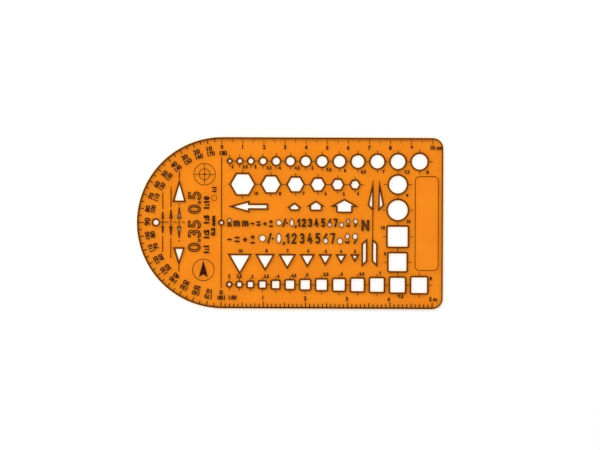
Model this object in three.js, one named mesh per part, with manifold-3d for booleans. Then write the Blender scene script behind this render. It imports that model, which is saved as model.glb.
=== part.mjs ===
// Combination drawing template: one transparent plate with two ruling edges, a protractor end,
// openings for shapes, arrows and lettering, and thin printed scales on its upper face.
// Millimetres, +Z up, lying flat. Inside the group, x = 0 is the zero of every scale and y = 0 is
// the middle of the plate.
import * as THREE from "three";
import { mergeVertices } from "three/addons/utils/BufferGeometryUtils.js";
import Module from "manifold-3d";

// Plate: its outline is measured at the lower face and the edge slopes inwards on its way up. Walls
// of the openings slope outwards, and every opening has its stated size at half the thickness.
const plateWidth = 81.2;
const squareEnd = 105.1;
const roundEndCentre = 0.5;
const plateThickness = 1.2;
const cornerRadius = 5;
const edgeSlope = 0.45;
const openingSlope = 0.75;
const slotSlope = 0.4;

// Rows of circles and squares along the two ruling edges, and the column that joins them
const rowInset = 11.35;
const rowStart = 3.85;
const rowSmallest = 2;
const rowStep = 0.5;
const rowCount = 13;
const rowLand = 2.5;
const columnSizes = [9, 10];
const columnLand = 2.6;

// Radius of the corners of the squares and of the feet of the level arrows
const roundedCorner = 0.6;

// Row of hexagons, measured across flats
const hexagonSizes = [10, 8, 7, 6, 5, 4];
const hexagonStart = 9.95;
const hexagonHeight = 18.25;
const hexagonLand = 3.05;

// Row of triangles that point down and hang from one line
const triangleSizes = [10, 8, 7, 6, 5, 4, 3];
const triangleStart = 8.8;
const triangleTop = -15.15;
const triangleLand = 3;

// Round holes for a pencil point on the middle line
const centreHole = 2.1;
const quarterHole = 3.05;
const quarterHoleX = -31.05;

// Long arrow that points to the zero line
const longArrowTip = 4.6;
const longArrowBarb = 12.85;
const longArrowEnd = 21.7;
const longArrowHeight = 7.65;
const longArrowHeadWidth = 4.5;
const longArrowShaftWidth = 2.1;

// Level arrows: x of the middle, then heights of the point, the shoulder and the foot, then the
// widths over the head and over the stem
const levelArrows = [
  { x: 34.6, point: 9.15, shoulder: 7.6, foot: 6.2, head: 4.6, stem: 4.25 },
  { x: 44.75, point: 10.15, shoulder: 8.1, foot: 6.1, head: 6.4, stem: 5.1 },
  { x: 58.25, point: 11.05, shoulder: 8, foot: 5.2, head: 11.4, stem: 6.95 },
];

// How far the body of a level arrow stays below the slopes of its head
const arrowRoofGap = 0.05;

// North arrow: two half heads and two tail feathers beside one straight line
const northLine = 71.75;
const halfGap = 2.95;
const headWidth = 2;
const headPoint = 19.4;
const headCorner = 8.6;
const headFoot = 6.6;
const tailWidth = 1.9;
const tailTop = -8.1;
const tailLength = 9.9;
const tailSlant = 1.75;

// Dimension arrowheads in facing pairs, on three lines left of the zero line
const arrowheadLines = [-27.8, -23.9, -20];
const arrowheadLengths = [1.5, 2.5, 3.5];
const arrowheadTaper = 0.42;
const arrowheadBase = 2.2;
const leaderStart = [6.3, 7.2, 8.2];
const leaderEnd = [14, 17, 9.1];
const upperWedge = { base: 10.1, length: 9.2, width: 5.2 };
const lowerWedge = { base: -12.2, length: 7.1, width: 4.35 };
const wedgeLeaderGap = 1.4;
const wedgeLeaderLength = 2.5;

// Lettering: the slot itself, how much wider than its middle line a loop is opened, then height over
// the middle of the stroke and width as a share of it
const slotWidth = 0.52;
const loopGrowth = 0.75;
const upperLettering = { height: 3.35, middle: 0.1 };
const lowerLettering = { height: 4.35, middle: -7.3 };
const letterAspect = 0.4;
const northLetter = { x: 68.2, middle: -1, height: 4.3, width: 2.6 };

// Fine grooves and the sunk field for notes
const grooveWidth = 0.55;
const grooveDepth = 0.15;
const zeroLineLength = 62.2;
const fieldInset = 2.1;
const fieldWidth = 11.4;
const fieldLength = 44.9;
const fieldRadius = 2.3;
const fieldDepth = 0.15;
const fieldSlope = 0.42;

// Printed scales: line width, distance between divisions, then lengths from the edge of the plate
const inkThickness = 0.04;
const centimetreScale = { line: 0.18, pitch: 1, count: 100, short: 1.7, half: 2.5, whole: 3.4 };
const metreScale = { line: 0.32, pitch: 2, count: 50, short: 2, half: 2.7, whole: 3.2 };
const degreeScale = { line: 0.22, pitch: 1, count: 180, short: 1.3, half: 2.2, whole: 2.5, right: 3.3 };

// Facets of round outlines
const largeRound = { from: 5, steps: 36 };
const smallRoundSteps = 20;
const plateArcSteps = 90;
const cornerSteps = 8;
const fieldCornerSteps = 5;
const smallCornerSteps = 3;

// How far a pointed corner of an outline moves outwards, as a multiple of how far its sides move
const cornerReach = 3;

const endRadius = plateWidth / 2;
const rowHeight = endRadius - rowInset;
const overrun = 0.02;

const wasm = await Module();
wasm.setup();

// Points of flat outlines, counter-clockwise

function arcPoints(x, y, radiusX, radiusY, startDegrees, endDegrees, steps) {
  const points = [];
  for (let i = 0; i <= steps; i++) {
    const angle = THREE.MathUtils.degToRad(startDegrees + ((endDegrees - startDegrees) * i) / steps);
    points.push(new THREE.Vector2(x + radiusX * Math.cos(angle), y + radiusY * Math.sin(angle)));
  }
  return points;
}

function ellipse(x, y, width, height) {
  const steps = width > largeRound.from ? largeRound.steps : smallRoundSteps;
  return arcPoints(x, y, width / 2, height / 2, 0, 360 * (1 - 1 / steps), steps - 1);
}

function circle(x, y, diameter) {
  return ellipse(x, y, diameter, diameter);
}

function regularPolygon(x, y, sides, acrossInscribed, firstDegrees) {
  const radius = acrossInscribed / 2 / Math.cos(Math.PI / sides);
  return arcPoints(x, y, radius, radius, firstDegrees, firstDegrees + 360 * (1 - 1 / sides), sides - 1);
}

function roundedBox(x, y, width, length, radius, steps) {
  const [right, top] = [width / 2 - radius, length / 2 - radius];
  const corner = (sideX, sideY, start) =>
    arcPoints(x + sideX * right, y + sideY * top, radius, radius, start, start + 90, steps);
  return [...corner(1, 1, 0), ...corner(-1, 1, 90), ...corner(-1, -1, 180), ...corner(1, -1, 270)];
}

// A closed outline moved outwards by a distance. Its corners stay sharp, but the most pointed ones
// move outwards no further than a limit.
function offsetOutline(points, distance) {
  return points.map((point, i) => {
    const before = points[(i + points.length - 1) % points.length];
    const after = points[(i + 1) % points.length];
    const intoCorner = point.clone().sub(before).normalize();
    const outOfCorner = after.clone().sub(point).normalize();
    const sideways = new THREE.Vector2(intoCorner.y + outOfCorner.y, -intoCorner.x - outOfCorner.x);
    const sharp = 1 / (1 + intoCorner.dot(outOfCorner));
    const reach = distance > 0 ? Math.min(sharp, cornerReach / sideways.length()) : sharp;
    return point.clone().addScaledVector(sideways, distance * reach);
  });
}

// A pen stroke of constant width along a line of points, with blunt round ends
function strokeOutline(line, width) {
  const sideOf = (i) => {
    const before = line[Math.max(i - 1, 0)];
    const after = line[Math.min(i + 1, line.length - 1)];
    const into = i > 0 ? line[i].clone().sub(before).normalize() : null;
    const out = i < line.length - 1 ? after.clone().sub(line[i]).normalize() : null;
    const first = into ?? out;
    const second = out ?? into;
    const reach = width / 2 / (1 + first.dot(second));
    return new THREE.Vector2(first.y + second.y, -first.x - second.x).multiplyScalar(reach);
  };
  const sides = line.map((_, i) => sideOf(i));
  const right = line.map((point, i) => point.clone().add(sides[i]));
  const left = line.map((point, i) => point.clone().sub(sides[i])).reverse();
  const cap = (centre, start) => {
    const corners = [1, 2].map((n) => start.clone().rotateAround(new THREE.Vector2(), (n * Math.PI) / 3));
    return corners.map((corner) => corner.add(centre));
  };
  const endCap = cap(line.at(-1), sides.at(-1));
  const startCap = cap(line[0], sides[0].clone().negate());
  return [...right, ...endCap, ...left, ...startCap];
}

// Solids

function toSolid(geometry) {
  geometry.deleteAttribute("normal");
  geometry.deleteAttribute("uv");
  const merged = mergeVertices(geometry, 1e-5);
  const mesh = new wasm.Mesh({
    numProp: 3,
    vertProperties: merged.attributes.position.array,
    triVerts: new Uint32Array(merged.index.array),
  });
  return new wasm.Manifold(mesh);
}

function toMesh(name, solid, material) {
  const result = solid.getMesh();
  const geometry = new THREE.BufferGeometry();
  geometry.setAttribute("position", new THREE.BufferAttribute(result.vertProperties, 3));
  geometry.setIndex(new THREE.BufferAttribute(result.triVerts, 1));
  geometry.computeVertexNormals();
  const mesh = new THREE.Mesh(geometry, material);
  mesh.name = name;
  return mesh;
}

// A solid through outlines of equal point counts at rising heights
function stackOutlines(levels) {
  const count = levels[0].outline.length;
  const positions = levels.flatMap(({ outline, z }) => outline.flatMap((point) => [point.x, point.y, z]));
  const indices = [];
  const topStart = (levels.length - 1) * count;
  for (let start = 0; start < topStart; start += count) {
    for (let i = 0; i < count; i++) {
      const a = start + i;
      const b = start + ((i + 1) % count);
      indices.push(a, b, b + count, a, b + count, a + count);
    }
  }
  for (const [a, b, c] of THREE.ShapeUtils.triangulateShape(levels[0].outline, [])) {
    indices.push(a, c, b);
    indices.push(topStart + a, topStart + b, topStart + c);
  }
  const geometry = new THREE.BufferGeometry();
  geometry.setAttribute("position", new THREE.Float32BufferAttribute(positions, 3));
  geometry.setIndex(indices);
  return toSolid(geometry);
}

// A cutter for an opening that widens by a slope towards the upper face
function opening(outline, slope) {
  const spread = slope * (1 / 2 + overrun / plateThickness);
  return stackOutlines([
    { outline: offsetOutline(outline, -spread), z: -overrun },
    { outline: offsetOutline(outline, spread), z: plateThickness + overrun },
  ]);
}

// A groove of V section between two points of the upper face
function groove(start, end) {
  const spread = 1 + overrun / grooveDepth;
  const length = start.distanceTo(end);
  const section = new THREE.Shape([
    new THREE.Vector2(0, -grooveDepth),
    new THREE.Vector2((spread * grooveWidth) / 2, overrun),
    new THREE.Vector2((-spread * grooveWidth) / 2, overrun),
  ]);
  const geometry = new THREE.ExtrudeGeometry(section, { depth: length, bevelEnabled: false });
  const heading = Math.atan2(end.y - start.y, end.x - start.x);
  geometry.rotateX(Math.PI / 2);
  geometry.rotateZ(heading + Math.PI / 2);
  geometry.translate(start.x, start.y, plateThickness);
  return toSolid(geometry);
}

// Outlines of the openings

function growing(first, sizes, land, widthOf) {
  let x = first;
  return sizes.map((size, i) => {
    if (i > 0) x += (widthOf(sizes[i - 1]) + widthOf(size)) / 2 + land;
    return { x, size };
  });
}

function shapeOpenings() {
  const sizes = Array.from({ length: rowCount }, (_, i) => rowSmallest + i * rowStep);
  const row = growing(rowStart, sizes, rowLand, (size) => size);
  const outlines = [];
  const addPair = (x, y, size) => {
    outlines.push(circle(x, y, size));
    outlines.push(roundedBox(x, -y, size, size, roundedCorner, smallCornerSteps));
  };
  row.forEach(({ x, size }) => addPair(x, rowHeight, size));
  const above = row.at(-2);
  const column = growing(0, [above.size, ...columnSizes], columnLand, (size) => size);
  column.slice(1).forEach(({ x, size }) => addPair(above.x, rowHeight - x, size));

  const acrossCorners = (size) => (size * 2) / Math.sqrt(3);
  for (const { x, size } of growing(hexagonStart, hexagonSizes, hexagonLand, acrossCorners)) {
    outlines.push(regularPolygon(x, hexagonHeight, 6, size, 0));
  }
  for (const { x, size } of growing(triangleStart, triangleSizes, triangleLand, (side) => side)) {
    const inscribed = size / Math.sqrt(3);
    outlines.push(regularPolygon(x, triangleTop - inscribed / 2, 3, inscribed, 30));
  }
  outlines.push(circle(0, 0, centreHole));
  outlines.push(circle(quarterHoleX, 0, quarterHole));
  return outlines;
}

function pointsOf(...pairs) {
  return pairs.map(([x, y]) => new THREE.Vector2(x, y));
}

function mirrored(outline, x) {
  return outline.map((point) => new THREE.Vector2(2 * x - point.x, point.y)).reverse();
}

function arrowOpenings() {
  const outlines = [];
  const head = longArrowHeadWidth / 2;
  const shaft = longArrowShaftWidth / 2;
  const longArrow = pointsOf(
    [longArrowTip, 0],
    [longArrowBarb, -head],
    [longArrowBarb, -shaft],
    [longArrowEnd, -shaft],
    [longArrowEnd, shaft],
    [longArrowBarb, shaft],
    [longArrowBarb, head],
  );
  outlines.push(longArrow.map((point) => new THREE.Vector2(point.x, point.y + longArrowHeight)));

  levelArrows.forEach((arrow) => outlines.push(...levelArrowParts(arrow)));

  const halfHead = pointsOf(
    [northLine, headFoot],
    [northLine, headPoint],
    [northLine - headWidth, headCorner],
  );
  outlines.push(halfHead, mirrored(halfHead, northLine + halfGap / 2));
  const feather = pointsOf(
    [northLine + tailWidth, tailTop - tailSlant],
    [northLine, tailTop],
    [northLine, tailTop - tailLength],
    [northLine + tailWidth, tailTop - tailLength - tailSlant],
  );
  outlines.push(feather, mirrored(feather, northLine - halfGap / 2));

  const wedgeX = arrowheadLines.at(-1);
  outlines.push(wedge(wedgeX, upperWedge.base, upperWedge.length, upperWedge.width / 2));
  outlines.push(wedge(wedgeX, lowerWedge.base, -lowerWedge.length, lowerWedge.width / 2));
  return outlines;
}

// Head and body of a level arrow. The body runs up inside the head to just below its slopes.
function levelArrowParts({ x, point, shoulder, foot, head, stem }) {
  const headOutline = wedge(x, shoulder, point - shoulder, head / 2);
  const rise = (point - shoulder) * (1 - stem / head);
  const [right, radius] = [x + stem / 2, roundedCorner];
  const corner = arcPoints(right - radius, foot + radius, radius, radius, 270, 360, smallCornerSteps);
  const side = [...corner, new THREE.Vector2(right, shoulder + rise - arrowRoofGap)];
  const top = new THREE.Vector2(x, point - arrowRoofGap);
  return [headOutline, [...side, top, ...mirrored(side, x)]];
}

function arrowheadOpenings() {
  return arrowheadLines.flatMap((x, i) => {
    const halfWidth = (arrowheadLengths[i] * arrowheadTaper) / 2;
    const above = wedge(x, arrowheadBase, arrowheadLengths[i], halfWidth);
    const below = wedge(x, -arrowheadBase, -arrowheadLengths[i], halfWidth);
    return [above, below];
  });
}

function wedge(x, base, length, halfWidth) {
  const outline = pointsOf([x - halfWidth, base], [x + halfWidth, base], [x, base + length]);
  return length > 0 ? outline : outline.reverse();
}

// Lettering. Centre lines lie in a box one letter wide and one letter high round the origin, and
// loops are open ovals, because a closed ring would let its middle fall out.

const upperBow = arcPoints(0, 0.23, 0.5, 0.27, 170, -30, 5);
const letterStrokes = {
  minus: [pointsOf([-0.42, -0.15], [0.42, -0.15])],
  equals: [pointsOf([-0.45, 0.06], [0.45, 0.06]), pointsOf([-0.45, -0.36], [0.45, -0.36])],
  plus: [pointsOf([-0.38, -0.16], [0.38, -0.16]), pointsOf([0, -0.31], [0, -0.01])],
  plusMinus: [
    pointsOf([-0.34, 0.13], [0.34, 0.13]),
    pointsOf([0, 0], [0, 0.26]),
    pointsOf([-0.42, -0.5], [0.42, -0.5]),
  ],
  slash: [pointsOf([-0.38, -0.5], [0.38, 0.5])],
  comma: [pointsOf([-0.12, -0.66], [0.12, -0.46])],
  one: [pointsOf([-0.35, 0.22], [0.2, 0.46]), pointsOf([0.2, 0.5], [0.2, -0.5])],
  two: [[...upperBow, ...pointsOf([-0.5, -0.5], [0.5, -0.5])]],
  three: [
    [...arcPoints(-0.02, 0.25, 0.45, 0.25, 150, -60, 4), ...pointsOf([-0.1, 0.02])],
    arcPoints(-0.05, -0.23, 0.52, 0.27, 85, -150, 5),
  ],
  four: [pointsOf([0, 0.5], [-0.5, -0.22], [0.5, -0.22]), pointsOf([0.24, 0.02], [0.24, -0.5])],
  five: [
    [
      ...pointsOf([0.42, 0.5], [-0.4, 0.5], [-0.45, 0.08]),
      ...arcPoints(-0.08, -0.18, 0.55, 0.32, 80, -140, 5),
    ],
  ],
  six: [pointsOf([0.28, 0.5], [-0.2, 0.16], [-0.45, -0.12])],
  seven: [pointsOf([-0.5, 0.5], [0.5, 0.5], [-0.1, -0.5])],
  eight: [arcPoints(0, -0.28, 0.46, 0.2, 195, 345, 4)],
  nine: [pointsOf([0.46, 0.1], [0.25, -0.2], [-0.25, -0.5])],
  capitalR: [pointsOf([-0.45, -0.5], [-0.45, 0.15]), pointsOf([0.05, 0], [0.5, -0.5])],
  smallM: [
    pointsOf([-0.85, -0.45], [-0.85, 0.15], [0.55, 0.15], [0.85, -0.02], [0.85, -0.45]),
    pointsOf([0, 0.15], [0, -0.45]),
  ],
  capitalN: [
    pointsOf([-0.5, -0.5], [-0.5, 0.5]),
    pointsOf([-0.5, 0.5], [0.5, -0.5]),
    pointsOf([0.5, -0.5], [0.5, 0.5]),
  ],
};

// Open ovals: place in the same box, then the width and height of the centre line round them
const letterOvals = {
  ring: { x: 0, y: 0, width: 1.4, height: 0.56 },
  nought: { x: 0, y: 0, width: 0.8, height: 0.93 },
  lowerLoop: { x: 0, y: -0.27, width: 1.03, height: 0.49 },
  six: { x: 0, y: -0.265, width: 0.88, height: 0.4 },
  eight: { x: 0, y: 0.25, width: 0.75, height: 0.42 },
  nine: { x: -0.02, y: 0.24, width: 0.95, height: 0.49 },
  capitalR: { x: -0.05, y: 0.3, width: 0.78, height: 0.34 },
  dot: { x: 0, y: -0.04, width: -0.08, height: -0.03 },
};

const upperText = [
  ["capitalR", 3.85],
  ["smallM", 7.3],
  ["smallM", 11.4],
  ["minus", 14.8],
  ["equals", 17.6],
  ["plus", 20.65],
  ["plusMinus", 23.5],
  ["ring", 27.25],
  ["slash", 29.8],
  ["dot", 31.05],
  ["nought", 33.35],
  ["comma", 35.3],
  ["one", 36.7],
  ["two", 39.15],
  ["three", 42.05],
  ["four", 45.1],
  ["five", 48.3],
  ["six", 51.35],
  ["seven", 54.1],
  ["lowerLoop", 56.9],
  ["eight", 60.05],
  ["nine", 63.6],
];

const lowerText = [
  ["minus", 3.95],
  ["equals", 7.5],
  ["plus", 11.25],
  ["plusMinus", 14.85],
  ["ring", 19.45],
  ["slash", 22.8],
  ["dot", 24.4],
  ["nought", 27.2],
  ["comma", 29.7],
  ["one", 31.4],
  ["two", 34.5],
  ["three", 38.3],
  ["four", 42],
  ["five", 45.8],
  ["six", 49.4],
  ["seven", 52.75],
  ["lowerLoop", 56.2],
  ["eight", 59.7],
  ["nine", 63.4],
];

function letterOutlines(name, x, middle, width, height) {
  const scaled = (line) => line.map((p) => new THREE.Vector2(x + p.x * width, middle + p.y * height));
  const outlines = (letterStrokes[name] ?? []).map((line) => strokeOutline(scaled(line), slotWidth));
  const oval = letterOvals[name];
  if (oval) {
    const ovalWidth = oval.width * width + loopGrowth;
    const ovalHeight = oval.height * height + loopGrowth;
    outlines.push(ellipse(x + oval.x * width, middle + oval.y * height, ovalWidth, ovalHeight));
  }
  return outlines;
}

function letteringOpenings() {
  const rowOutlines = (text, { height, middle }) =>
    text.flatMap(([name, x]) => letterOutlines(name, x, middle, height * letterAspect, height));
  return [
    ...rowOutlines(upperText, upperLettering),
    ...rowOutlines(lowerText, lowerLettering),
    ...letterOutlines("capitalN", northLetter.x, northLetter.middle, northLetter.width, northLetter.height),
  ];
}

// Grooves: the zero line, the leaders of the arrowheads and the line of the north arrow
function grooves() {
  const upright = (x, from, to) => groove(new THREE.Vector2(x, from), new THREE.Vector2(x, to));
  const found = [
    upright(0, -zeroLineLength / 2, zeroLineLength / 2),
    upright(northLine, tailTop, headFoot),
  ];
  arrowheadLines.forEach((x, i) => {
    found.push(upright(x, -arrowheadBase, arrowheadBase));
    found.push(upright(x, leaderStart[i], leaderEnd[i]));
    found.push(upright(x, -leaderEnd[i], -leaderStart[i]));
  });
  const wedgeX = arrowheadLines.at(-1);
  const above = upperWedge.base + upperWedge.length + wedgeLeaderGap;
  const below = lowerWedge.base - lowerWedge.length - wedgeLeaderGap;
  found.push(upright(wedgeX, above, above + wedgeLeaderLength));
  found.push(upright(wedgeX, below - wedgeLeaderLength, below));
  return found;
}

function noteField() {
  const x = squareEnd - fieldInset - fieldWidth / 2;
  const outline = roundedBox(x, 0, fieldWidth, fieldLength, fieldRadius, fieldCornerSteps);
  const spread = (fieldSlope * overrun) / fieldDepth;
  return stackOutlines([
    { outline: offsetOutline(outline, -fieldSlope), z: plateThickness - fieldDepth },
    { outline: offsetOutline(outline, spread), z: plateThickness + overrun },
  ]);
}

// The plate blank: a half-round end, two straight edges and two rounded corners
function plateBlank() {
  const [x, y, radius] = [squareEnd - cornerRadius, endRadius - cornerRadius, cornerRadius];
  const outline = [
    ...arcPoints(x, y, radius, radius, 0, 90, cornerSteps),
    ...arcPoints(roundEndCentre, 0, endRadius, endRadius, 90, 270, plateArcSteps),
    ...arcPoints(x, -y, radius, radius, 270, 360, cornerSteps),
  ];
  return stackOutlines([
    { outline, z: 0 },
    { outline: offsetOutline(outline, -edgeSlope), z: plateThickness },
  ]);
}

function templatePlate() {
  const wide = [...shapeOpenings(), ...arrowOpenings()];
  const fine = [...arrowheadOpenings(), ...letteringOpenings()];
  const cuts = [
    ...wide.map((outline) => opening(outline, openingSlope)),
    ...fine.map((outline) => opening(outline, slotSlope)),
    ...grooves(),
    noteField(),
  ];
  const plastic = new THREE.MeshStandardMaterial({
    color: 0xf78c1e,
    roughness: 0.25,
    metalness: 0,
    transparent: true,
    opacity: 0.85,
  });
  return toMesh("template_plate", wasm.Manifold.difference([plateBlank(), ...cuts]), plastic);
}

// Printed scales. Each is one comb: a fine line along the edge and a tooth at every division.

function markLength(i, scale) {
  if (i * 2 === scale.count && scale.right) return scale.right;
  if (i % 10 === 0) return scale.whole;
  return i % 5 === 0 ? scale.half : scale.short;
}

function comb(scale, first, last, backStep, pointAt) {
  const half = scale.line / 2;
  const backbone = edgeSlope + scale.line;
  const back = [];
  const teeth = [];
  for (let i = first; i <= last; i++) {
    const along = i * scale.pitch;
    const depth = markLength(i, scale);
    teeth.push(pointAt(along, backbone, -half));
    teeth.push(pointAt(along, depth, -half));
    teeth.push(pointAt(along, depth, half));
    teeth.push(pointAt(along, backbone, half));
  }
  for (let i = first; i <= last; i += backStep) {
    const end = i === first ? -half : i + backStep > last ? half : 0;
    back.push(pointAt(i * scale.pitch, edgeSlope, end));
  }
  const shape = new THREE.Shape([...teeth, ...back.reverse()]);
  return toSolid(new THREE.ExtrudeGeometry(shape, { depth: inkThickness, bevelEnabled: false }));
}

// Along a straight edge: distance from zero, depth from the edge, and a shift along the edge
function straightPoint(side) {
  return (along, depth, shift) => new THREE.Vector2(along + shift, side * (endRadius - depth));
}

// Round the half-round end: degrees from the top, depth from the edge, and a shift along the arc.
// The rays leave the zero line, which lies a little outside the centre of the arc.
function roundPoint(along, depth, shift) {
  const angle = THREE.MathUtils.degToRad(90 + along);
  const aside = roundEndCentre * Math.sin(angle);
  const toEdge = roundEndCentre * Math.cos(angle) + Math.sqrt(endRadius ** 2 - aside ** 2);
  return new THREE.Vector2(toEdge - depth, shift).rotateAround(new THREE.Vector2(), angle);
}

const ink = new THREE.MeshStandardMaterial({ color: 0x3c0a00, roughness: 0.6, metalness: 0 });

function scalePrint(name, solid) {
  const mesh = toMesh(name, solid, ink);
  mesh.position.z = plateThickness;
  return mesh;
}

const template = new THREE.Group();
template.name = "combination_drawing_template";
template.add(templatePlate());
for (const [name, scale, side] of [
  ["centimetre_scale", centimetreScale, 1],
  ["metre_scale", metreScale, -1],
]) {
  const teeth = comb(scale, 0, scale.count, scale.count, straightPoint(side));
  template.add(scalePrint(name, teeth));
}
template.add(scalePrint("degree_scale", comb(degreeScale, 1, degreeScale.count - 1, 2, roundPoint)));
template.position.x = (endRadius - roundEndCentre - squareEnd) / 2;

export default template;
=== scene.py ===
import math

import bmesh
import bpy
from mathutils import Matrix, Vector


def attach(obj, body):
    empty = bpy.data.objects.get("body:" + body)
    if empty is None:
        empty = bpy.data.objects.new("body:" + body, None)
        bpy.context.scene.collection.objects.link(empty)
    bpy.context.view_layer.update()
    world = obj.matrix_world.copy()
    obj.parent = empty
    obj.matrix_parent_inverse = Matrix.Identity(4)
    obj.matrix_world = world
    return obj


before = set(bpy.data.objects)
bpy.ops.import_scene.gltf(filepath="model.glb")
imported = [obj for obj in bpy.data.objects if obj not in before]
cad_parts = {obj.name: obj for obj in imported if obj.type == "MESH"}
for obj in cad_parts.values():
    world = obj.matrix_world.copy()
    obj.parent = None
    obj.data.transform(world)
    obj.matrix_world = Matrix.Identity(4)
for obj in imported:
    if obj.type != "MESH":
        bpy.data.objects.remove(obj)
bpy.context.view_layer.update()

# Places below are millimetres on the plate: x from the zero line of the scales, y from the
# middle of the plate. The frame has its origin in the middle of the whole length.
plate = {
    "zeroLineX": -32.5,
    "top": 1.2,
    "edge": 40.6,             # from the middle to each ruling edge, and the radius of the round end
    "roundEndCentre": 0.5,    # its x
    "scaleEnd": 100,          # x of the last mark of both straight scales
    "rowHeight": 29.25,       # circles above, squares below
    "firstX": 3.85,           # the middle of the smallest circle and square
    "sizes": [2 + 0.5 * step for step in range(13)],
    "land": 2.5,              # between two openings
    "columnSizes": [9, 10],
    "columnLand": 2.6,
    "hexagonSizes": [10, 8, 7, 6, 5, 4],
    "hexagonX": 9.95,
    "hexagonY": 18.25,
    "hexagonLand": 3.05,
    "rim": 0.375,             # how far an opening is past its size at the upper face
}
mm = 0.001
weldDistance = 1e-7           # m
digitHeight = 0.73            # of Blender's own font, at size 1


def toFrame(x, y, z):
    return Vector(((x + plate["zeroLineX"]) * mm, y * mm, z * mm))


def polar(centre, radius, degrees):
    angle = math.radians(degrees)
    return centre[0] + radius * math.cos(angle), centre[1] + radius * math.sin(angle)


# Lettering centred on its own middle, one unit thick from z = 0. A look gives the height of a digit
# in mm, and may make the strokes heavier, spread or stretch the letters, or draw only their outline
# with a line so many mm wide.
def letterMesh(words, look):
    curve = bpy.data.curves.new("lettering", "FONT")
    curve.body = words
    curve.size = 1
    curve.offset = look.get("weight", 0)
    curve.extrude = 0.5
    curve.space_character = look.get("spacing", 1)
    curve.resolution_u = 3
    if look.get("outline"):
        curve.fill_mode = "NONE"
        curve.extrude = 0
        curve.bevel_depth = look["outline"] / 2 / look["height"] * digitHeight
        curve.bevel_resolution = 0
    carrier = bpy.data.objects.new("lettering", curve)
    bpy.context.scene.collection.objects.link(carrier)
    bpy.context.view_layer.update()
    data = bpy.data.meshes.new_from_object(carrier)
    bpy.data.objects.remove(carrier)
    bpy.data.curves.remove(curve)
    xs = [v.co.x for v in data.vertices]
    zs = [v.co.z for v in data.vertices]
    scale = look["height"] / digitHeight
    thickness = max(zs) - min(zs)
    for v in data.vertices:
        v.co.x = (v.co.x - (min(xs) + max(xs)) / 2) * scale * look.get("stretch", 1)
        v.co.y = (v.co.y - digitHeight / 2) * scale
        v.co.z = (v.co.z - min(zs)) / thickness
    return data


# A piece of print or painted edge shade: closed films that lie on the upper face, all of one thickness
class FilmPiece:
    def __init__(self, name, thickness):
        self.name = name
        self.thickness = thickness
        self.mesh = bmesh.new()

    def prism(self, outline):
        levels = []
        for height in (0, self.thickness):
            z = plate["top"] + height
            levels.append([self.mesh.verts.new(toFrame(x, y, z)) for x, y in outline])
        low, high = levels
        self.mesh.faces.new(high)
        self.mesh.faces.new(low[::-1])
        for i in range(len(outline)):
            j = (i + 1) % len(outline)
            self.mesh.faces.new((low[i], low[j], high[j], high[i]))

    # A band beside a row of points, from one distance to another on the left of their direction.
    # Its pointed corners reach no further than a multiple of that distance.
    def band(self, points, near, far, closed=True, corner=2):
        spots = [Vector(point) for point in points]
        ways = [(b - a).normalized() for a, b in zip(spots, spots[1:] + spots[:1])]
        last = len(spots) - 1
        sides = []
        for i in range(len(spots)):
            into = ways[0] if i == 0 and not closed else ways[i - 1]
            out = ways[last - 1] if i == last and not closed else ways[i]
            aside = Vector((-into.y - out.y, into.x + out.x))
            sides.append(aside * min(1 / (1 + into.dot(out)), corner / aside.length))
        rows = []
        for height in (0, self.thickness):
            for distance in (near, far):
                z = plate["top"] + height
                moved = [spot + side * distance for spot, side in zip(spots, sides)]
                rows.append([self.mesh.verts.new(toFrame(x, y, z)) for x, y in moved])
        lowNear, lowFar, highNear, highFar = rows
        for i in range(len(spots) if closed else last):
            j = (i + 1) % len(spots)
            self.mesh.faces.new((highNear[i], highNear[j], highFar[j], highFar[i]))
            self.mesh.faces.new((lowNear[j], lowNear[i], lowFar[i], lowFar[j]))
            self.mesh.faces.new((lowNear[i], lowNear[j], highNear[j], highNear[i]))
            self.mesh.faces.new((lowFar[j], lowFar[i], highFar[i], highFar[j]))
        if not closed:
            self.mesh.faces.new((lowFar[0], lowNear[0], highNear[0], highFar[0]))
            self.mesh.faces.new((lowNear[last], lowFar[last], highFar[last], highNear[last]))

    def line(self, start, end, width):
        self.band([start, end], -width / 2, width / 2, closed=False)

    def ring(self, centre, radius, width, steps=64):
        outer = [polar(centre, radius + width / 2, 360 * i / steps) for i in range(steps)]
        self.band(outer, 0, width)

    # Words with their middle on a spot, turned by degrees
    def text(self, words, centre, look, heading=0.0):
        glyphs = letterMesh(words, look)
        place = (
            Matrix.Translation(toFrame(centre[0], centre[1], plate["top"]))
            @ Matrix.Rotation(math.radians(heading), 4, "Z")
            @ Matrix.Diagonal((mm, mm, self.thickness * mm, 1))
        )
        glyphs.transform(place)
        self.mesh.from_mesh(glyphs)
        bpy.data.meshes.remove(glyphs)

    def finish(self, material):
        bmesh.ops.remove_doubles(self.mesh, verts=self.mesh.verts, dist=weldDistance)
        data = bpy.data.meshes.new(self.name)
        self.mesh.to_mesh(data)
        self.mesh.free()
        data.materials.append(material)
        piece = bpy.data.objects.new(self.name, data)
        bpy.context.scene.collection.objects.link(piece)
        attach(piece, "root")
        print("film piece", self.name, len(data.polygons), "faces")


# Materials

def linearColour(code):
    channels = [int(code[i:i + 2], 16) / 255 for i in (1, 3, 5)]
    linear = [c / 12.92 if c <= 0.04045 else ((c + 0.055) / 1.055) ** 2.4 for c in channels]
    return (*linear, 1)


def addNode(material, kind, settings=None, inputs=None):
    node = material.node_tree.nodes.new(kind)
    for name, value in (settings or {}).items():
        setattr(node, name, value)
    for name, value in (inputs or {}).items():
        if isinstance(value, bpy.types.NodeSocket):
            material.node_tree.links.new(value, node.inputs[name])
        else:
            node.inputs[name].default_value = value
    return node


def newMaterial(name):
    material = bpy.data.materials.new(name)
    material.use_nodes = True
    material.node_tree.nodes.clear()
    return material


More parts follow.
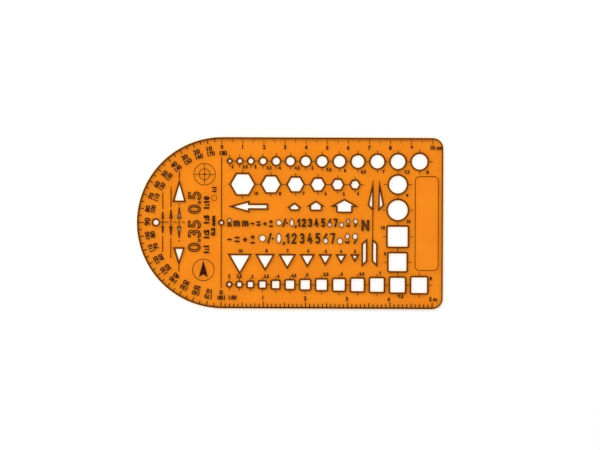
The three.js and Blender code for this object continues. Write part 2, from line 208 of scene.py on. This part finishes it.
def setRamp(node, stops):
    elements = node.color_ramp.elements
    while len(elements) < len(stops):
        elements.new(0.5)
    for element, (position, code) in zip(elements, stops):
        element.position = position
        element.color = linearColour(code)


# Cast acrylic sheet, dyed amber: clear and glossy, so that the paper shows through it, with cut
# edges coloured dark brown as painted shade, for how they look from above
acrylic = {
    "body": "#ff9424",        # colour of the light that the sheet scatters
    "bodyDeep": "#fb8f22",
    "clear": "#fedf45",       # colour of the light that goes through
    "clearDeep": "#fddc43",
    "waveSize": 14,           # mm, the slow change of a sheet's thickness
    "waveSpan": (0.35, 0.65),
    # Painted shade on the cut walls: dark brown across the middle of their height, lighter towards paper and
    # face
    "wall": [(0, "#c07a34"), (0.45, "#501f02"), (0.75, "#501f02"), (1, "#b0601a")],    # paper to face
    # Painted shade on the walls of a narrow slot
    "slotWallShade": "#1a0600",
    "slotReach": 0.8,         # mm between walls that shade each other
    "slotShade": (0.2, 0.45),    # open share of the sky where a wall is darkest, and fully lit
    # Painted shade on the sides of the grooves
    "groove": "#6c2c00",
    "grooveLevel": 0.6,       # upward share of the normal from which a face is the side of a groove
    "flatLevel": 0.97,        # the same for the two faces of the sheet
    "milky": 0.15,            # share of the light that the sheet scatters
    "edgeSolid": 0.9,         # the same at a cut edge
    "roughness": (0.1, 0.18),
    "edgeRoughness": 0.7,
    "ior": 1.49,
    "shine": 1.0,             # of the faces; a cut edge has none
    "scuffSize": 0.9,         # mm between hairline scuffs, far wider than real ones so that they show
    "scuffStretch": 9,        # times longer than wide
    "scuffTurn": 0.5,         # radians
    "scuffSpan": (0.4, 0.7),
    "scuffDepth": 0.004,      # mm
    "scuffRelief": 0.15,
}


# A Mix node has its colours at inputs 6 and 7 and output 2, and its numbers at 2, 3 and output 0
def castAcrylic(look):
    material = newMaterial("amberCastAcrylic")
    geometry = addNode(material, "ShaderNodeNewGeometry")
    direction = addNode(material, "ShaderNodeSeparateXYZ", inputs={0: geometry.outputs["True Normal"]})
    level = addNode(material, "ShaderNodeMath", {"operation": "ABSOLUTE"}, {0: direction.outputs["Z"]})
    coords = addNode(material, "ShaderNodeTexCoord")

    waves = addNode(material, "ShaderNodeTexNoise", inputs={
        "Vector": coords.outputs["Object"], "Scale": 1 / (look["waveSize"] * mm), "Detail": 2.0})
    thin, thick = look["waveSpan"]
    body = addNode(material, "ShaderNodeValToRGB", inputs={0: waves.outputs["Fac"]})
    setRamp(body, [(thin, look["bodyDeep"]), (thick, look["body"])])
    clear = addNode(material, "ShaderNodeValToRGB", inputs={0: waves.outputs["Fac"]})
    setRamp(clear, [(thin, look["clearDeep"]), (thick, look["clear"])])

    # Steep faces are the cut walls, middling ones the sides of the grooves; both get painted shade
    place = addNode(material, "ShaderNodeSeparateXYZ", inputs={0: coords.outputs["Object"]})
    height = addNode(material, "ShaderNodeMath", {"operation": "DIVIDE"}, {
        0: place.outputs["Z"], 1: plate["top"] * mm})
    # Painted shade: the colour of a cut wall by its height
    depth = addNode(material, "ShaderNodeValToRGB", inputs={0: height.outputs[0]})
    setRamp(depth, look["wall"])
    # Painted shade: light scarcely reaches the walls of a narrow slot, so they are coloured near black
    hollow = addNode(material, "ShaderNodeAmbientOcclusion", {"samples": 8}, {
        "Distance": look["slotReach"] * mm})
    darkest, brightest = look["slotShade"]
    lit = addNode(material, "ShaderNodeMapRange", inputs={
        "Value": hollow.outputs["AO"], "From Min": darkest, "From Max": brightest})
    shaded = addNode(material, "ShaderNodeMix", {"data_type": "RGBA"}, {
        0: lit.outputs[0], 6: linearColour(look["slotWallShade"]), 7: depth.outputs["Color"]})
    middling = addNode(material, "ShaderNodeMath", {"operation": "GREATER_THAN"}, {
        0: level.outputs[0], 1: look["grooveLevel"]})
    cut = addNode(material, "ShaderNodeMix", {"data_type": "RGBA"}, {
        0: middling.outputs[0], 6: shaded.outputs[2], 7: linearColour(look["groove"])})
    flat = addNode(material, "ShaderNodeMath", {"operation": "GREATER_THAN"}, {
        0: level.outputs[0], 1: look["flatLevel"]})

    stretch = look["scuffStretch"]
    scuffs = addNode(material, "ShaderNodeMapping", inputs={
        "Vector": coords.outputs["Object"], "Scale": (1, stretch, 1), "Rotation": (0, 0, look["scuffTurn"])})
    hairlines = addNode(material, "ShaderNodeTexNoise", inputs={
        "Vector": scuffs.outputs[0], "Scale": 1 / (look["scuffSize"] * stretch * mm), "Detail": 4.0})
    smooth, scuffed = look["scuffSpan"]
    low, high = look["roughness"]
    gloss = addNode(material, "ShaderNodeMapRange", inputs={
        "Value": hairlines.outputs["Fac"], "From Min": smooth, "From Max": scuffed,
        "To Min": low, "To Max": high})
    relief = addNode(material, "ShaderNodeBump", inputs={
        "Height": hairlines.outputs["Fac"], "Strength": look["scuffRelief"],
        "Distance": look["scuffDepth"] * mm})

    face = addNode(material, "ShaderNodeBsdfPrincipled", inputs={
        "Base Color": body.outputs["Color"], "Roughness": gloss.outputs[0], "IOR": look["ior"],
        "Specular IOR Level": look["shine"], "Normal": relief.outputs[0]})
    wall = addNode(material, "ShaderNodeBsdfPrincipled", inputs={
        "Base Color": cut.outputs[2], "Roughness": look["edgeRoughness"], "IOR": look["ior"],
        "Specular IOR Level": 0.0})
    solid = addNode(material, "ShaderNodeMixShader", inputs={
        0: flat.outputs[0], 1: wall.outputs[0], 2: face.outputs[0]})
    window = addNode(material, "ShaderNodeBsdfTransparent", inputs={"Color": clear.outputs["Color"]})
    share = addNode(material, "ShaderNodeMapRange", inputs={
        "Value": flat.outputs[0], "To Min": look["edgeSolid"], "To Max": look["milky"]})
    sheet = addNode(material, "ShaderNodeMixShader", inputs={
        0: share.outputs[0], 1: window.outputs[0], 2: solid.outputs[0]})
    addNode(material, "ShaderNodeOutputMaterial", inputs={"Surface": sheet.outputs[0]})
    return material


# Screen-printed ink: a dark brown film, slightly uneven where the mesh of the screen let it through
screenInk = {
    "colour": "#300b00",
    "worn": "#451500",
    "roughness": (0.45, 0.62),
    "ior": 1.5,
    "grainSize": 0.25,        # mm between the threads, coarser than a real screen so that it shows
}

# Painted shade at the cut edge of the sheet: a narrow brown line round every opening, where the sheet bends
# the light away
cutEdgeShade = {
    "colour": "#6a2e02",
    "worn": "#7c3a08",
    "roughness": (0.35, 0.5),
    "ior": 1.49,
    "grainSize": 0.6,         # mm between tool marks, coarser than real ones so that they show
}

# What both browns share
brownGrain = {
    "toneSpan": (0.4, 0.7),
    "glossSpan": (0.35, 0.7),
    "depth": 0.01,            # mm
    "relief": 0.2,
    "shine": 0.05,
}


def grainyBrown(name, look, grain):
    material = newMaterial(name)
    coords = addNode(material, "ShaderNodeTexCoord")
    specks = addNode(material, "ShaderNodeTexNoise", inputs={
        "Vector": coords.outputs["Object"], "Scale": 1 / (look["grainSize"] * mm), "Detail": 3.0})
    tone = addNode(material, "ShaderNodeValToRGB", inputs={0: specks.outputs["Fac"]})
    dark, pale = grain["toneSpan"]
    setRamp(tone, [(dark, look["colour"]), (pale, look["worn"])])
    smooth, rough = grain["glossSpan"]
    low, high = look["roughness"]
    gloss = addNode(material, "ShaderNodeMapRange", inputs={
        "Value": specks.outputs["Fac"], "From Min": smooth, "From Max": rough, "To Min": low, "To Max": high})
    relief = addNode(material, "ShaderNodeBump", inputs={
        "Height": specks.outputs["Fac"], "Strength": grain["relief"], "Distance": grain["depth"] * mm})
    solid = addNode(material, "ShaderNodeBsdfPrincipled", inputs={
        "Base Color": tone.outputs["Color"], "Roughness": gloss.outputs[0], "IOR": look["ior"],
        "Specular IOR Level": grain["shine"], "Normal": relief.outputs[0]})
    addNode(material, "ShaderNodeOutputMaterial", inputs={"Surface": solid.outputs[0]})
    return material


amberSheet = castAcrylic(acrylic)
brownInk = grainyBrown("brownScreenInk", screenInk, brownGrain)
# Material of the painted shade along the cut edges
paintedEdgeShade = grainyBrown("paintedCutEdgeShade", cutEdgeShade, brownGrain)
for nodeName, material in {
    "template_plate": amberSheet,
    "centimetre_scale": brownInk,
    "metre_scale": brownInk,
    "degree_scale": brownInk,
}.items():
    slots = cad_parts[nodeName].data.materials
    slots.clear()
    slots.append(material)
print("materials on the packed nodes")

inkFilm = 0.03                # mm thick, numbers and thin lines


# Painted shade: a dark line along the upper edge of every cut
cutRimShade = {
    "film": 0.02,             # mm thick
    "width": 0.18,
    "outside": 0.34,          # mm round the whole plate
    "corner": 1.6,            # how far the most pointed corners reach, as a multiple of the width
    "flat": 0.97,             # upward share of the normals of the upper face
    "steep": 0.6,             # most upward share of the normals of a cut wall
    "fewest": 4,              # corners of an outline
    "longest": 60,            # mm: a longer outline is the outside of the plate
    "lettering": ((1, -11.5), (66, 3.5)),    # between these corners the slots keep no line
    "weld": 1e-3,             # mm
}


# Outlines of the upper face, each a row of places on the plate
def cutOutlines(data, look):
    mesh = bmesh.new()
    mesh.from_mesh(data)
    bmesh.ops.remove_doubles(mesh, verts=mesh.verts, dist=look["weld"] * mm)
    following = {}
    for edge in mesh.edges:
        flat = [corner for corner in edge.link_loops if corner.face.normal.z > look["flat"]]
        steep = [face for face in edge.link_faces if abs(face.normal.z) < look["steep"]]
        if len(flat) == 1 and len(steep) == 1:
            following[flat[0].vert] = flat[0].link_loop_next.vert
    reached = set(following.values())
    outlines = []
    for start in [vert for vert in following if vert not in reached] + list(following):
        run = [start]
        while run[-1] in following:
            run.append(following.pop(run[-1]))
        if len(run) >= look["fewest"]:
            outlines.append([(vert.co.x / mm - plate["zeroLineX"], vert.co.y / mm) for vert in run])
    mesh.free()
    return outlines


def isLettering(xs, ys, look):
    (left, bottom), (right, top) = look["lettering"]
    return left < (min(xs) + max(xs)) / 2 < right and bottom < (min(ys) + max(ys)) / 2 < top


# Painted shade: dark film lines round the cut outlines, wider round the outside of the plate
rimShade = FilmPiece("cutRimShade", cutRimShade["film"])
for outline in cutOutlines(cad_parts["template_plate"].data, cutRimShade):
    closed = outline[0] == outline[-1]
    corners = outline[:-1] if closed else outline
    xs, ys = zip(*corners)
    if max(xs) - min(xs) > cutRimShade["longest"]:
        rimShade.band(corners, 0, cutRimShade["outside"], closed, cutRimShade["corner"])
    elif not isLettering(xs, ys, cutRimShade):
        rimShade.band(corners, 0, cutRimShade["width"], closed, cutRimShade["corner"])
rimShade.finish(paintedEdgeShade)


# Numbers along the two ruling edges
scaleLabels = {
    "height": 1.85,
    "weight": 0.06,
    "stretch": 0.95,
    "marks": [
        ("0", 0.1, 35.95), ("1", 9.9, 36.05), ("2", 20.1, 36), ("3", 30.05, 35.95), ("4", 40, 35.9),
        ("5", 50, 35.75), ("6", 59.95, 35.8), ("7", 70, 35.8), ("8", 79.9, 35.85), ("9", 90, 35.9),
        ("10 cm", 101.7, 35.95), ("1:50", 5.5, -35.35), ("1", 19.75, -35.4), ("2", 39.85, -35.65),
        ("3", 59.6, -35.8), ("4", 79.35, -36), ("5 m", 100.45, -35.8),
    ],
}
scaleNumbers = FilmPiece("scaleNumbers", inkFilm)
for words, x, y in scaleLabels["marks"]:
    scaleNumbers.text(words, (x, y), scaleLabels)
scaleNumbers.finish(brownInk)


# Numbers round the protractor end: the outer row counts from the top, the inner row back
degreeLabels = {
    "height": 2.1,
    "weight": 0.05,
    "stretch": 1.1,
    "stretchLong": 0.92,      # numbers of three digits
    "right": {"height": 2.6, "weight": 0.04, "stretch": 1.05},    # the right angle
    "rightPlace": (-35.15, 0.35),
    "shift": (0.3, 0.75),     # mm up along the upper quarter, outer and inner row
    "outer": 35.6,
    "inner": 33.05,
    "step": 10,
}
degreeNumbers = FilmPiece("degreeNumbers", inkFilm)
degreeNumbers.text("90", degreeLabels["rightPlace"], degreeLabels["right"], heading=90)
for degrees in range(0, 181, degreeLabels["step"]):
    outerShift, innerShift = degreeLabels["shift"] if degrees < 90 else (0, 0)
    rows = (
        (degreeLabels["outer"], degrees, outerShift),
        (degreeLabels["inner"], 180 - degrees, innerShift),
    )
    for radius, number, shift in rows:
        if degrees == 90 or (degrees == 0 and number == 0):
            continue
        look = dict(degreeLabels)
        if number >= 100:
            look["stretch"] = degreeLabels["stretchLong"]
        spot = polar((0, 0), radius, 90 + degrees - math.degrees(shift / radius))
        degreeNumbers.text(str(number), spot, look, heading=degrees)
degreeNumbers.finish(brownInk)


# Dark points round the tips of the dimension arrowheads, above and below the middle line: x, the
# height where the opening ends, and the height where the point ends
arrowPoints = {
    "film": 0.026,            # mm thick
    "places": [(-27.8, 4.3, 5.15), (-23.9, 5.3, 6.15), (-20, 6.3, 7.3)],
    "root": 0.5,              # half the width at the notch
    "end": 0.28,              # half the width at the tip
    "notchDepth": 1.1,
    "notchHalf": 0.26,        # half the width of the opening that far from its end
}
arrowTips = FilmPiece("arrowPoints", arrowPoints["film"])
notch, root, tip = arrowPoints["notchHalf"], arrowPoints["root"], arrowPoints["end"]
for x, start, end in arrowPoints["places"]:
    foot = start - arrowPoints["notchDepth"]
    for up in (1, -1):
        outline = [
            (-root, foot), (-notch, foot), (0, start), (notch, foot), (root, foot), (tip, end), (-tip, end)]
        arrowTips.prism([(x + aside, up * height) for aside, height in outline[::up]])
arrowTips.finish(brownInk)


# Broad marks over the fine ones of the two straight scales: distances in mm from the edge, and
# for each spacing of marks how far they reach
scaleMarks = {
    "film": 0.025,            # mm thick
    "metre": {"step": 2, "side": -1, "from": 0.8, "to": {10: 2.8, 2: 2.3}, "width": 0.46},
    "centimetre": {"step": 5, "side": 1, "from": 0.45, "to": {10: 3.1, 5: 2.3}, "width": 0.3},
    "baseLine": {"depth": 0.57, "width": 0.46},
}
broadMarks = FilmPiece("scaleMarks", scaleMarks["film"])
for name in ("metre", "centimetre"):
    scale = scaleMarks[name]
    for x in range(0, plate["scaleEnd"] + 1, scale["step"]):
        inward = next(depth for step, depth in scale["to"].items() if x % step == 0)
        ends = [(x, scale["side"] * (plate["edge"] - depth)) for depth in (scale["from"], inward)]
        broadMarks.line(*ends, scale["width"])
baseLine = scaleMarks["baseLine"]
baseY = baseLine["depth"] - plate["edge"]
broadMarks.line((0, baseY), (plate["scaleEnd"], baseY), baseLine["width"])
broadMarks.finish(brownInk)


# Broad marks over every fifth fine one round the protractor end, on rays from its centre on the
# zero line: distances in mm from the edge, and for each spacing of marks how far they reach
degreeMarks = {
    "film": 0.025,            # mm thick
    "width": 0.45,
    "step": 5,
    "from": 0.5,
    "to": {90: 3.4, 10: 2.8, 5: 2.3},
}
rays = FilmPiece("degreeMarks", degreeMarks["film"])
for degrees in range(degreeMarks["step"], 180, degreeMarks["step"]):
    angle = math.radians(90 + degrees)
    aside = plate["roundEndCentre"] * math.sin(angle)
    edge = plate["roundEndCentre"] * math.cos(angle) + math.sqrt(plate["edge"] ** 2 - aside ** 2)
    inward = next(depth for step, depth in degreeMarks["to"].items() if degrees % step == 0)
    ends = [polar((0, 0), edge - depth, 90 + degrees) for depth in (degreeMarks["from"], inward)]
    rays.line(*ends, degreeMarks["width"])
rays.finish(brownInk)


# The size beside each opening
sizeLabels = {
    "height": 1.55,
    "weight": 0.065,
    "stretch": 0.95,
    "circles": [
        ("2", 5.15, 26.6), ("2.5", 11.15, 26.6), ("3", 16.05, 26.5), ("3.5", 22.45, 26.1),
        ("4", 27.5, 26.1), ("4.5", 35.8, 26.1), ("5", 43.05, 26.1), ("5.5", 50.9, 25.4),
        ("6", 58.5, 25.05), ("6.5", 67.2, 24.45), ("7", 76.8, 24.5), ("7.5", 87.85, 24.35),
        ("8", 97.6, 24.35), ("9", 88.05, 13.2), ("10", 88.8, 1),
    ],
    "squares": [
        ("2", 3.85, -25.2), ("2.5", 8.6, -25.3), ("3", 14.85, -25.45), ("3.5", 21.5, -25.3),
        ("4", 27.05, -25.25), ("4.5", 34.35, -24.9), ("5", 40.85, -24.5), ("5.5", 49.7, -24.2),
        ("6", 57.2, -24.05), ("6.5", 66.65, -23.9), ("7", 75.4, -23.65), ("7.5", 85.2, -34.55),
        ("8", 99.3, -26), ("10", 76.6, -2.05), ("9", 77.6, -14.45),
    ],
    "hexagons": [
        ("10", 16.55, 14), ("8", 27.75, 13.9), ("7", 38.95, 14.1), ("6", 49.35, 14),
        ("5", 57.95, 13.85), ("4", 64.65, 14),
    ],
    "triangles": [
        ("10", 9.2, -13.25), ("8", 21.45, -13.2), ("7", 31.55, -13.15), ("6", 41.25, -13.1),
        ("5", 49.6, -13.35), ("4", 56.7, -13.35), ("3", 63.35, -13.35),
    ],
}
sizeNumbers = FilmPiece("sizeNumbers", inkFilm)
for kind in ("circles", "squares", "hexagons", "triangles"):
    for words, x, y in sizeLabels[kind]:
        sizeNumbers.text(words, (x, y), sizeLabels)
sizeNumbers.finish(brownInk)


# Centre lines through the rows of openings
centreLines = {
    "width": 0.32,
    "tick": 1.5,              # mm above and below an opening
    "rows": (2.2, 100.1),     # where the lines of the circles and the squares start and end
    "hexagons": (2.9, 67.6),  # the same for the hexagons
    "hexagonGap": 0.5,
    "columnReach": 1.5,       # mm beside the openings of the column
    "columnGap": 0.7,
}
lineWidth = centreLines["width"]
centreMarks = FilmPiece("centreMarks", inkFilm)


# Middles and sizes of a row of openings
def rowOf(first, sizes, land, widthOf):
    places = [first]
    for before, after in zip(sizes, sizes[1:]):
        places.append(places[-1] + (widthOf(before) + widthOf(after)) / 2 + land)
    return list(zip(places, sizes))


def addTicks(x, y, reach, ways=(1, -1)):
    for way in ways:
        foot = y + way * reach
        centreMarks.line((x, foot), (x, foot + way * centreLines["tick"]), lineWidth)


# The stretches of a level line that lie between openings
def addStretches(y, span, openings):
    ends = [span[0]]
    for x, reach in openings:
        ends += [x - reach, x + reach]
    ends.append(span[1])
    for start, end in zip(ends[::2], ends[1::2]):
        centreMarks.line((start, y), (end, y), lineWidth)


row = rowOf(plate["firstX"], plate["sizes"], plate["land"], lambda size: size)
columnX, cornerSize = row[-2]
column = rowOf(0, [cornerSize, *plate["columnSizes"]], plate["columnLand"], lambda size: size)
for side in (1, -1):
    rowY = side * plate["rowHeight"]
    for x, size in row:
        addTicks(x, rowY, size / 2 + plate["rim"], (side,) if x == columnX else (1, -1))
    addStretches(rowY, centreLines["rows"], [(x, size / 2 + plate["rim"]) for x, size in row])
    for (step, size), (nextStep, nextSize) in zip(column, column[1:]):
        top = step + size / 2 + plate["rim"]
        bottom = nextStep - nextSize / 2 - plate["rim"]
        centreMarks.line((columnX, rowY - side * top), (columnX, rowY - side * bottom), lineWidth)
    for step, size in column[1:]:
        y = rowY - side * step
        reach = size / 2 + centreLines["columnGap"]
        for right in (1, -1):
            start = columnX + right * reach
            centreMarks.line((start, y), (start + right * centreLines["columnReach"], y), lineWidth)
columnFoot = plate["rowHeight"] - column[-1][0] - plate["columnSizes"][-1] / 2 - plate["rim"]
centreMarks.line((columnX, columnFoot), (columnX, -columnFoot), lineWidth)

acrossCorners = 2 / math.sqrt(3)    # of a hexagon one unit across flats
hexagons = rowOf(
    plate["hexagonX"], plate["hexagonSizes"], plate["hexagonLand"], lambda size: size * acrossCorners)
for x, size in hexagons:
    addTicks(x, plate["hexagonY"], size / 2 + plate["rim"])
addStretches(plate["hexagonY"], centreLines["hexagons"], [
    (x, size * acrossCorners / 2 + centreLines["hexagonGap"]) for x, size in hexagons])
centreMarks.finish(brownInk)


# Middle line between the arrowheads, in dashes, and the line that carries on the groove over the
# upper wedge
middleLine = {
    "width": 0.4,
    "height": 0.12,           # over the middle of the plate
    "dashes": [(-28.9, -24.9), (-22.9, -20.9), (-18.9, -17.2)],
    "wedgeLine": ((-20, 22), (-20, 24.4)),
}
middleDashes = FilmPiece("middleDashes", inkFilm)
for start, end in middleLine["dashes"]:
    middleDashes.line((start, middleLine["height"]), (end, middleLine["height"]), middleLine["width"])
middleDashes.line(*middleLine["wedgeLine"], middleLine["width"])
middleDashes.finish(brownInk)


# Drafting key beside the protractor: pen sizes, usual drawing scales, two plain signs and a ring
draftingKey = {
    "penSizes": {"height": 6, "outline": 0.5, "stretch": 1.1, "words": "0.35 0.5", "place": (-13, 0.4)},
    "scales": {
        "height": 2.25, "weight": 0.09, "spacing": 1.2, "words": "1:1  1:2  1:5  1:10",
        "place": (-7.1, -1)},
    "slot": {"height": 1.75, "weight": 0.08, "stretch": 1.3, "words": "0.5 mm", "place": (-3.9, -1.5)},
    "ratio": {"height": 1.9, "weight": 0.08, "words": "1:1", "place": (-3.5, 15.7)},
    "signRing": {"radius": 5.1, "width": 0.32},
    "crosshair": {
        "place": (-8.05, 22.9), "inner": 2.6, "from": 0.9, "to": 4.6, "dot": 0.6, "dotSides": 12},
    "needle": {"place": (-8.45, -22.4), "tip": 4.6, "tail": 3.45, "notch": 2.05, "half": 2.1},
    "smallRing": {"place": (-3.5, 11.7), "radius": 1.3, "width": 0.24, "steps": 32},
}


def addDraftingSigns(key):
    signs = FilmPiece("draftingSigns", inkFilm)
    for name in ("penSizes", "scales", "slot", "ratio"):
        signs.text(key[name]["words"], key[name]["place"], key[name], heading=90)
    ring = key["signRing"]
    for name in ("crosshair", "needle"):
        signs.ring(key[name]["place"], ring["radius"], ring["width"])
    small = key["smallRing"]
    signs.ring(small["place"], small["radius"], small["width"], small["steps"])

    cross = key["crosshair"]
    signs.ring(cross["place"], cross["inner"], ring["width"])
    turn = 360 / cross["dotSides"]
    signs.prism([polar(cross["place"], cross["dot"], turn * i) for i in range(cross["dotSides"])])
    for heading in range(0, 360, 90):
        ends = [polar(cross["place"], distance, heading) for distance in (cross["from"], cross["to"])]
        signs.line(*ends, ring["width"])

    # A north needle in two halves
    needle = key["needle"]
    x, y = needle["place"]
    notch, tail, tip = y - needle["notch"], y - needle["tail"], y + needle["tip"]
    for side in (1, -1):
        signs.prism([(x, notch), (x + side * needle["half"], tail), (x, tip)][::side])
    signs.finish(brownInk)


addDraftingSigns(draftingKey)
print("all film pieces")


# Stage: white drawing paper, matt with a faint tooth, with painted shade and painted amber light near the
# cuts, and a soft even light
stage = {
    # painted shade and painted amber light: open share of the sky over a spot of bare paper, and the colour
    # painted there
    "shadeAndLightTones": [(0.37, "#0c0200"), (0.46, "#d98a4a"), (0.56, "#fff0d4"), (0.8, "#f6ead6"), (0.98, "#f3f3f3")],
    "nearby": 1.5,            # mm round a spot of bare paper in which walls count as near
    "fibres": 900,            # to the metre, coarser than real ones so that they show
    "fibreDepth": 0.02,       # mm
    "floorGlow": 0.12,        # only what the camera sees of the sheet, so that it reads as white
    # Painted light: a stronger glow at the bottom of a small opening, against the shade of its walls
    "paintedHoleLight": 0.3,          # the same at the bottom of a small opening
    "glowSpan": 0.5,          # open share of the sky at which a spot counts as such a bottom
    "floorReach": 4,          # m
    "floorDrop": 0.02,        # mm under the plate
    "sky": "#ffffff",
    "daylight": 0.8,
    "lampPlace": (-0.45, 0.5, 0.75),    # m
    "lampSize": 0.6,
    "lampPower": 4.2,         # W
}


# 1 where the camera looks, straight on or by way of gloss and clear sheet
def inView(owner, path):
    direct = addNode(owner, "ShaderNodeMath", {"operation": "MAXIMUM"}, {
        0: path.outputs["Is Camera Ray"], 1: path.outputs["Is Glossy Ray"]})
    return addNode(owner, "ShaderNodeMath", {"operation": "MAXIMUM"}, {
        0: direct.outputs[0], 1: path.outputs["Is Transmission Ray"]})


def whiteSheet(look):
    material = newMaterial("whiteDrawingPaper")
    coords = addNode(material, "ShaderNodeTexCoord")
    fibres = addNode(material, "ShaderNodeTexNoise", inputs={
        "Vector": coords.outputs["Object"], "Scale": look["fibres"], "Detail": 2.0})
    relief = addNode(material, "ShaderNodeBump", inputs={
        "Height": fibres.outputs["Fac"], "Strength": 0.05, "Distance": look["fibreDepth"] * mm})
    # Painted shade and painted light: bare paper is coloured dark at the bottom of a narrow cut, and warm
    # beside the amber walls
    path = addNode(material, "ShaderNodeLightPath")
    sky = addNode(material, "ShaderNodeAmbientOcclusion", {"samples": 8}, {"Distance": look["nearby"] * mm})
    uncovered = addNode(material, "ShaderNodeMath", {"operation": "LESS_THAN"}, {
        0: path.outputs["Transparent Depth"], 1: 0.5})
    bare = addNode(material, "ShaderNodeMath", {"operation": "MULTIPLY"}, {
        0: uncovered.outputs[0], 1: path.outputs["Is Camera Ray"]})
    openness = addNode(material, "ShaderNodeMix", {"data_type": "FLOAT"}, {
        0: bare.outputs[0], 2: 1.0, 3: sky.outputs["AO"]})
    # Painted shade and painted amber light on the bare paper, by how much sky the walls leave open
    tone = addNode(material, "ShaderNodeValToRGB", inputs={0: openness.outputs[0]})
    setRamp(tone, look["shadeAndLightTones"])
    paper = addNode(material, "ShaderNodeBsdfPrincipled", inputs={
        "Base Color": tone.outputs["Color"], "Roughness": 0.9,
        "Specular IOR Level": 0.0, "Normal": relief.outputs[0]})
    # Glow of the backdrop on open paper, with painted light at the bottom of a small opening
    deep = addNode(material, "ShaderNodeMapRange", inputs={
        "Value": openness.outputs[0], "From Min": look["glowSpan"],
        "To Min": look["paintedHoleLight"], "To Max": look["floorGlow"]})
    strength = addNode(material, "ShaderNodeMath", {"operation": "MULTIPLY"}, {
        0: inView(material, path).outputs[0], 1: deep.outputs[0]})
    glow = addNode(material, "ShaderNodeEmission", inputs={
        "Color": tone.outputs["Color"], "Strength": strength.outputs[0]})
    both = addNode(material, "ShaderNodeAddShader", inputs={0: paper.outputs[0], 1: glow.outputs[0]})
    addNode(material, "ShaderNodeOutputMaterial", inputs={"Surface": both.outputs[0]})
    return material


def whiteWorld(look):
    world = bpy.data.worlds.new("whiteRoom")
    world.use_nodes = True
    world.node_tree.nodes.clear()
    path = addNode(world, "ShaderNodeLightPath")
    strength = addNode(world, "ShaderNodeMapRange", inputs={
        "Value": inView(world, path).outputs[0], "To Min": look["daylight"], "To Max": 1.0})
    light = addNode(world, "ShaderNodeBackground", inputs={
        "Color": linearColour(look["sky"]), "Strength": strength.outputs[0]})
    addNode(world, "ShaderNodeOutputWorld", inputs={"Surface": light.outputs[0]})
    return world


bpy.context.scene.world = whiteWorld(stage)

reach = stage["floorReach"]
floorData = bpy.data.meshes.new("paperFloor")
floorData.from_pydata(
    [(-reach, -reach, 0), (reach, -reach, 0), (reach, reach, 0), (-reach, reach, 0)], [], [(0, 1, 2, 3)])
floorData.materials.append(whiteSheet(stage))
floor = bpy.data.objects.new("paperFloor", floorData)
floor.location.z = -stage["floorDrop"] * mm
bpy.context.scene.collection.objects.link(floor)

lampData = bpy.data.lights.new("softWindow", "AREA")
lampData.size = stage["lampSize"]
lampData.energy = stage["lampPower"]
lamp = bpy.data.objects.new("softWindow", lampData)
lamp.location = stage["lampPlace"]
lamp.rotation_euler = (-Vector(stage["lampPlace"])).to_track_quat("-Z", "Y").to_euler()
bpy.context.scene.collection.objects.link(lamp)
print("stage and light")


# Camera straight above, far off, as in a flat catalogue picture
view = {
    "pixelsPerMillimetre": 2.111,
    "imageWidth": 600,
    "lens": 150,              # mm
    "sensor": 36,             # mm
    "clip": (0.01, 20),       # m
    "aim": (37.26, -0.95),    # the point of the plate in the middle of the picture
    "roll": 0.25,             # degrees
}
cameraData = bpy.data.cameras.new("catalogueCamera")
cameraData.lens = view["lens"]
cameraData.sensor_width = view["sensor"]
cameraData.clip_start, cameraData.clip_end = view["clip"]
distance = view["imageWidth"] * view["lens"] / view["sensor"] / view["pixelsPerMillimetre"]
camera = bpy.data.objects.new("catalogueCamera", cameraData)
camera.location = toFrame(*view["aim"], plate["top"] + distance)
camera.rotation_euler = (0, 0, math.radians(view["roll"]))
bpy.context.scene.collection.objects.link(camera)
bpy.context.scene.camera = camera
bpy.context.scene.view_settings.view_transform = "Standard"
print("camera", round(distance), "mm above the plate")
